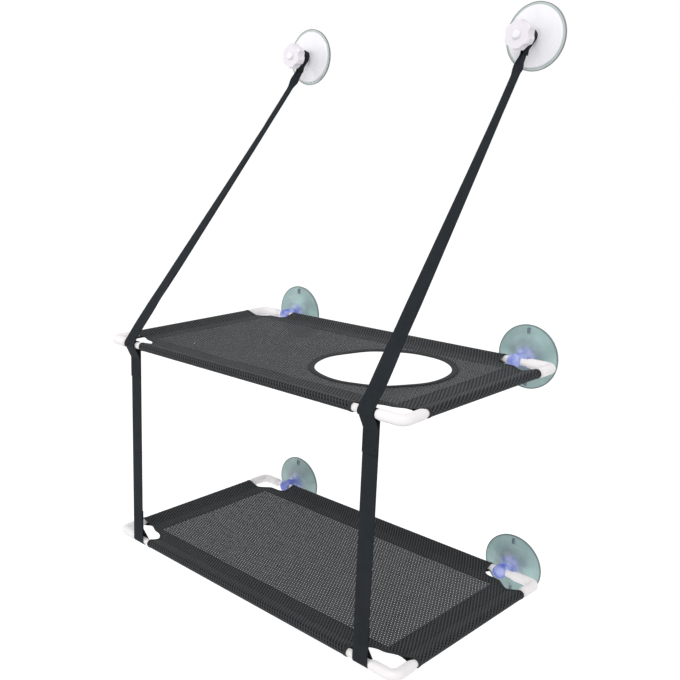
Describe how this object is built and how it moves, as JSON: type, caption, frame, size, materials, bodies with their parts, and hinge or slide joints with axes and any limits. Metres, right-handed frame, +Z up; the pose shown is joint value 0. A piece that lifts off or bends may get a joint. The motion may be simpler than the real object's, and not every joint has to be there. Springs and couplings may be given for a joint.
{
  "type": "window cat perch",
  "caption": "Window mounted cat perch: dark mesh decks on white tube frames, a round hole in the upper deck, hung on webbing straps from suction cups.",
  "frame": {"origin": "on the window pane, midway between the lower suction cups, at their centre height", "axes": "+X to the right when seen from the room, +Y into the window pane, +Z up"},
  "size_m": [0.574, 0.361, 0.834],
  "materials": {
    "white_tube": "smooth white powder coat",
    "white_elbow": "moulded, satin",
    "mesh_fabric": "ribbed see-through mesh",
    "black_tape": "woven binding tape",
    "clear_cup": "clear soft PVC",
    "clear_disc": "clear soft PVC",
    "white_dome": "moulded, glossy",
    "white_stud": "moulded",
    "white_knob": "moulded, satin",
    "webbing": "woven webbing"
  },
  "bodies": {
    "window_cups": {"upper_left_cup": "clear_cup", "upper_right_cup": "clear_cup", "lower_left_cup": "clear_cup", "lower_right_cup": "clear_cup", "left_top_disc": "clear_disc", "left_top_dome": "white_dome", "left_top_stud": "white_stud", "left_diagonal_strap": "webbing", "right_top_disc": "clear_disc", "right_top_dome": "white_dome", "right_top_stud": "white_stud", "right_diagonal_strap": "webbing"},
    "upper_perch": {"upper_front_tube": "white_tube", "upper_back_tube": "white_tube", "upper_left_tube": "white_tube", "upper_right_tube": "white_tube", "upper_front_left_elbow": "white_elbow", "upper_front_right_elbow": "white_elbow", "upper_back_left_elbow": "white_elbow", "upper_back_right_elbow": "white_elbow", "upper_mesh_cover": "mesh_fabric", "upper_hole_binding": "black_tape"},
    "lower_perch": {"lower_front_tube": "white_tube", "lower_back_tube": "white_tube", "lower_left_tube": "white_tube", "lower_right_tube": "white_tube", "lower_front_left_elbow": "white_elbow", "lower_front_right_elbow": "white_elbow", "lower_back_left_elbow": "white_elbow", "lower_back_right_elbow": "white_elbow", "lower_mesh_cover": "mesh_fabric"},
    "hanging_straps": {"left_vertical_strap": "webbing", "right_vertical_strap": "webbing"},
    "left_knob": {"left_knob": "white_knob"},
    "right_knob": {"right_knob": "white_knob"}
  },
  "joints": [
    {"name": "perch_fold", "type": "hinge", "parent": "window_cups", "child": "upper_perch", "pos_m": [0, -0.033, 0.32], "axis": [-1, 0, 0], "range_deg": [0, 75], "deforming": ["left_diagonal_strap", "right_diagonal_strap"]},
    {"name": "lower_perch_fold", "type": "hinge", "parent": "window_cups", "child": "lower_perch", "pos_m": [0, -0.033, 0], "axis": [-1, 0, 0], "range_deg": [0, 75]},
    {"name": "strap_swing", "type": "hinge", "parent": "upper_perch", "child": "hanging_straps", "pos_m": [0, -0.353, 0.32], "axis": [-1, 0, 0], "range_deg": [-75, 0]},
    {"name": "left_knob_turn", "type": "hinge", "parent": "window_cups", "child": "left_knob", "pos_m": [-0.202, 0, 0.745], "axis": [0, -1, 0], "continuous": true},
    {"name": "right_knob_turn", "type": "hinge", "parent": "window_cups", "child": "right_knob", "pos_m": [0.202, 0, 0.745], "axis": [0, -1, 0], "continuous": true}
  ],
  "couplings": [
    {"joint": "lower_perch_fold", "follows": "perch_fold", "ratio": 1},
    {"joint": "strap_swing", "follows": "perch_fold", "ratio": -1}
  ]
}
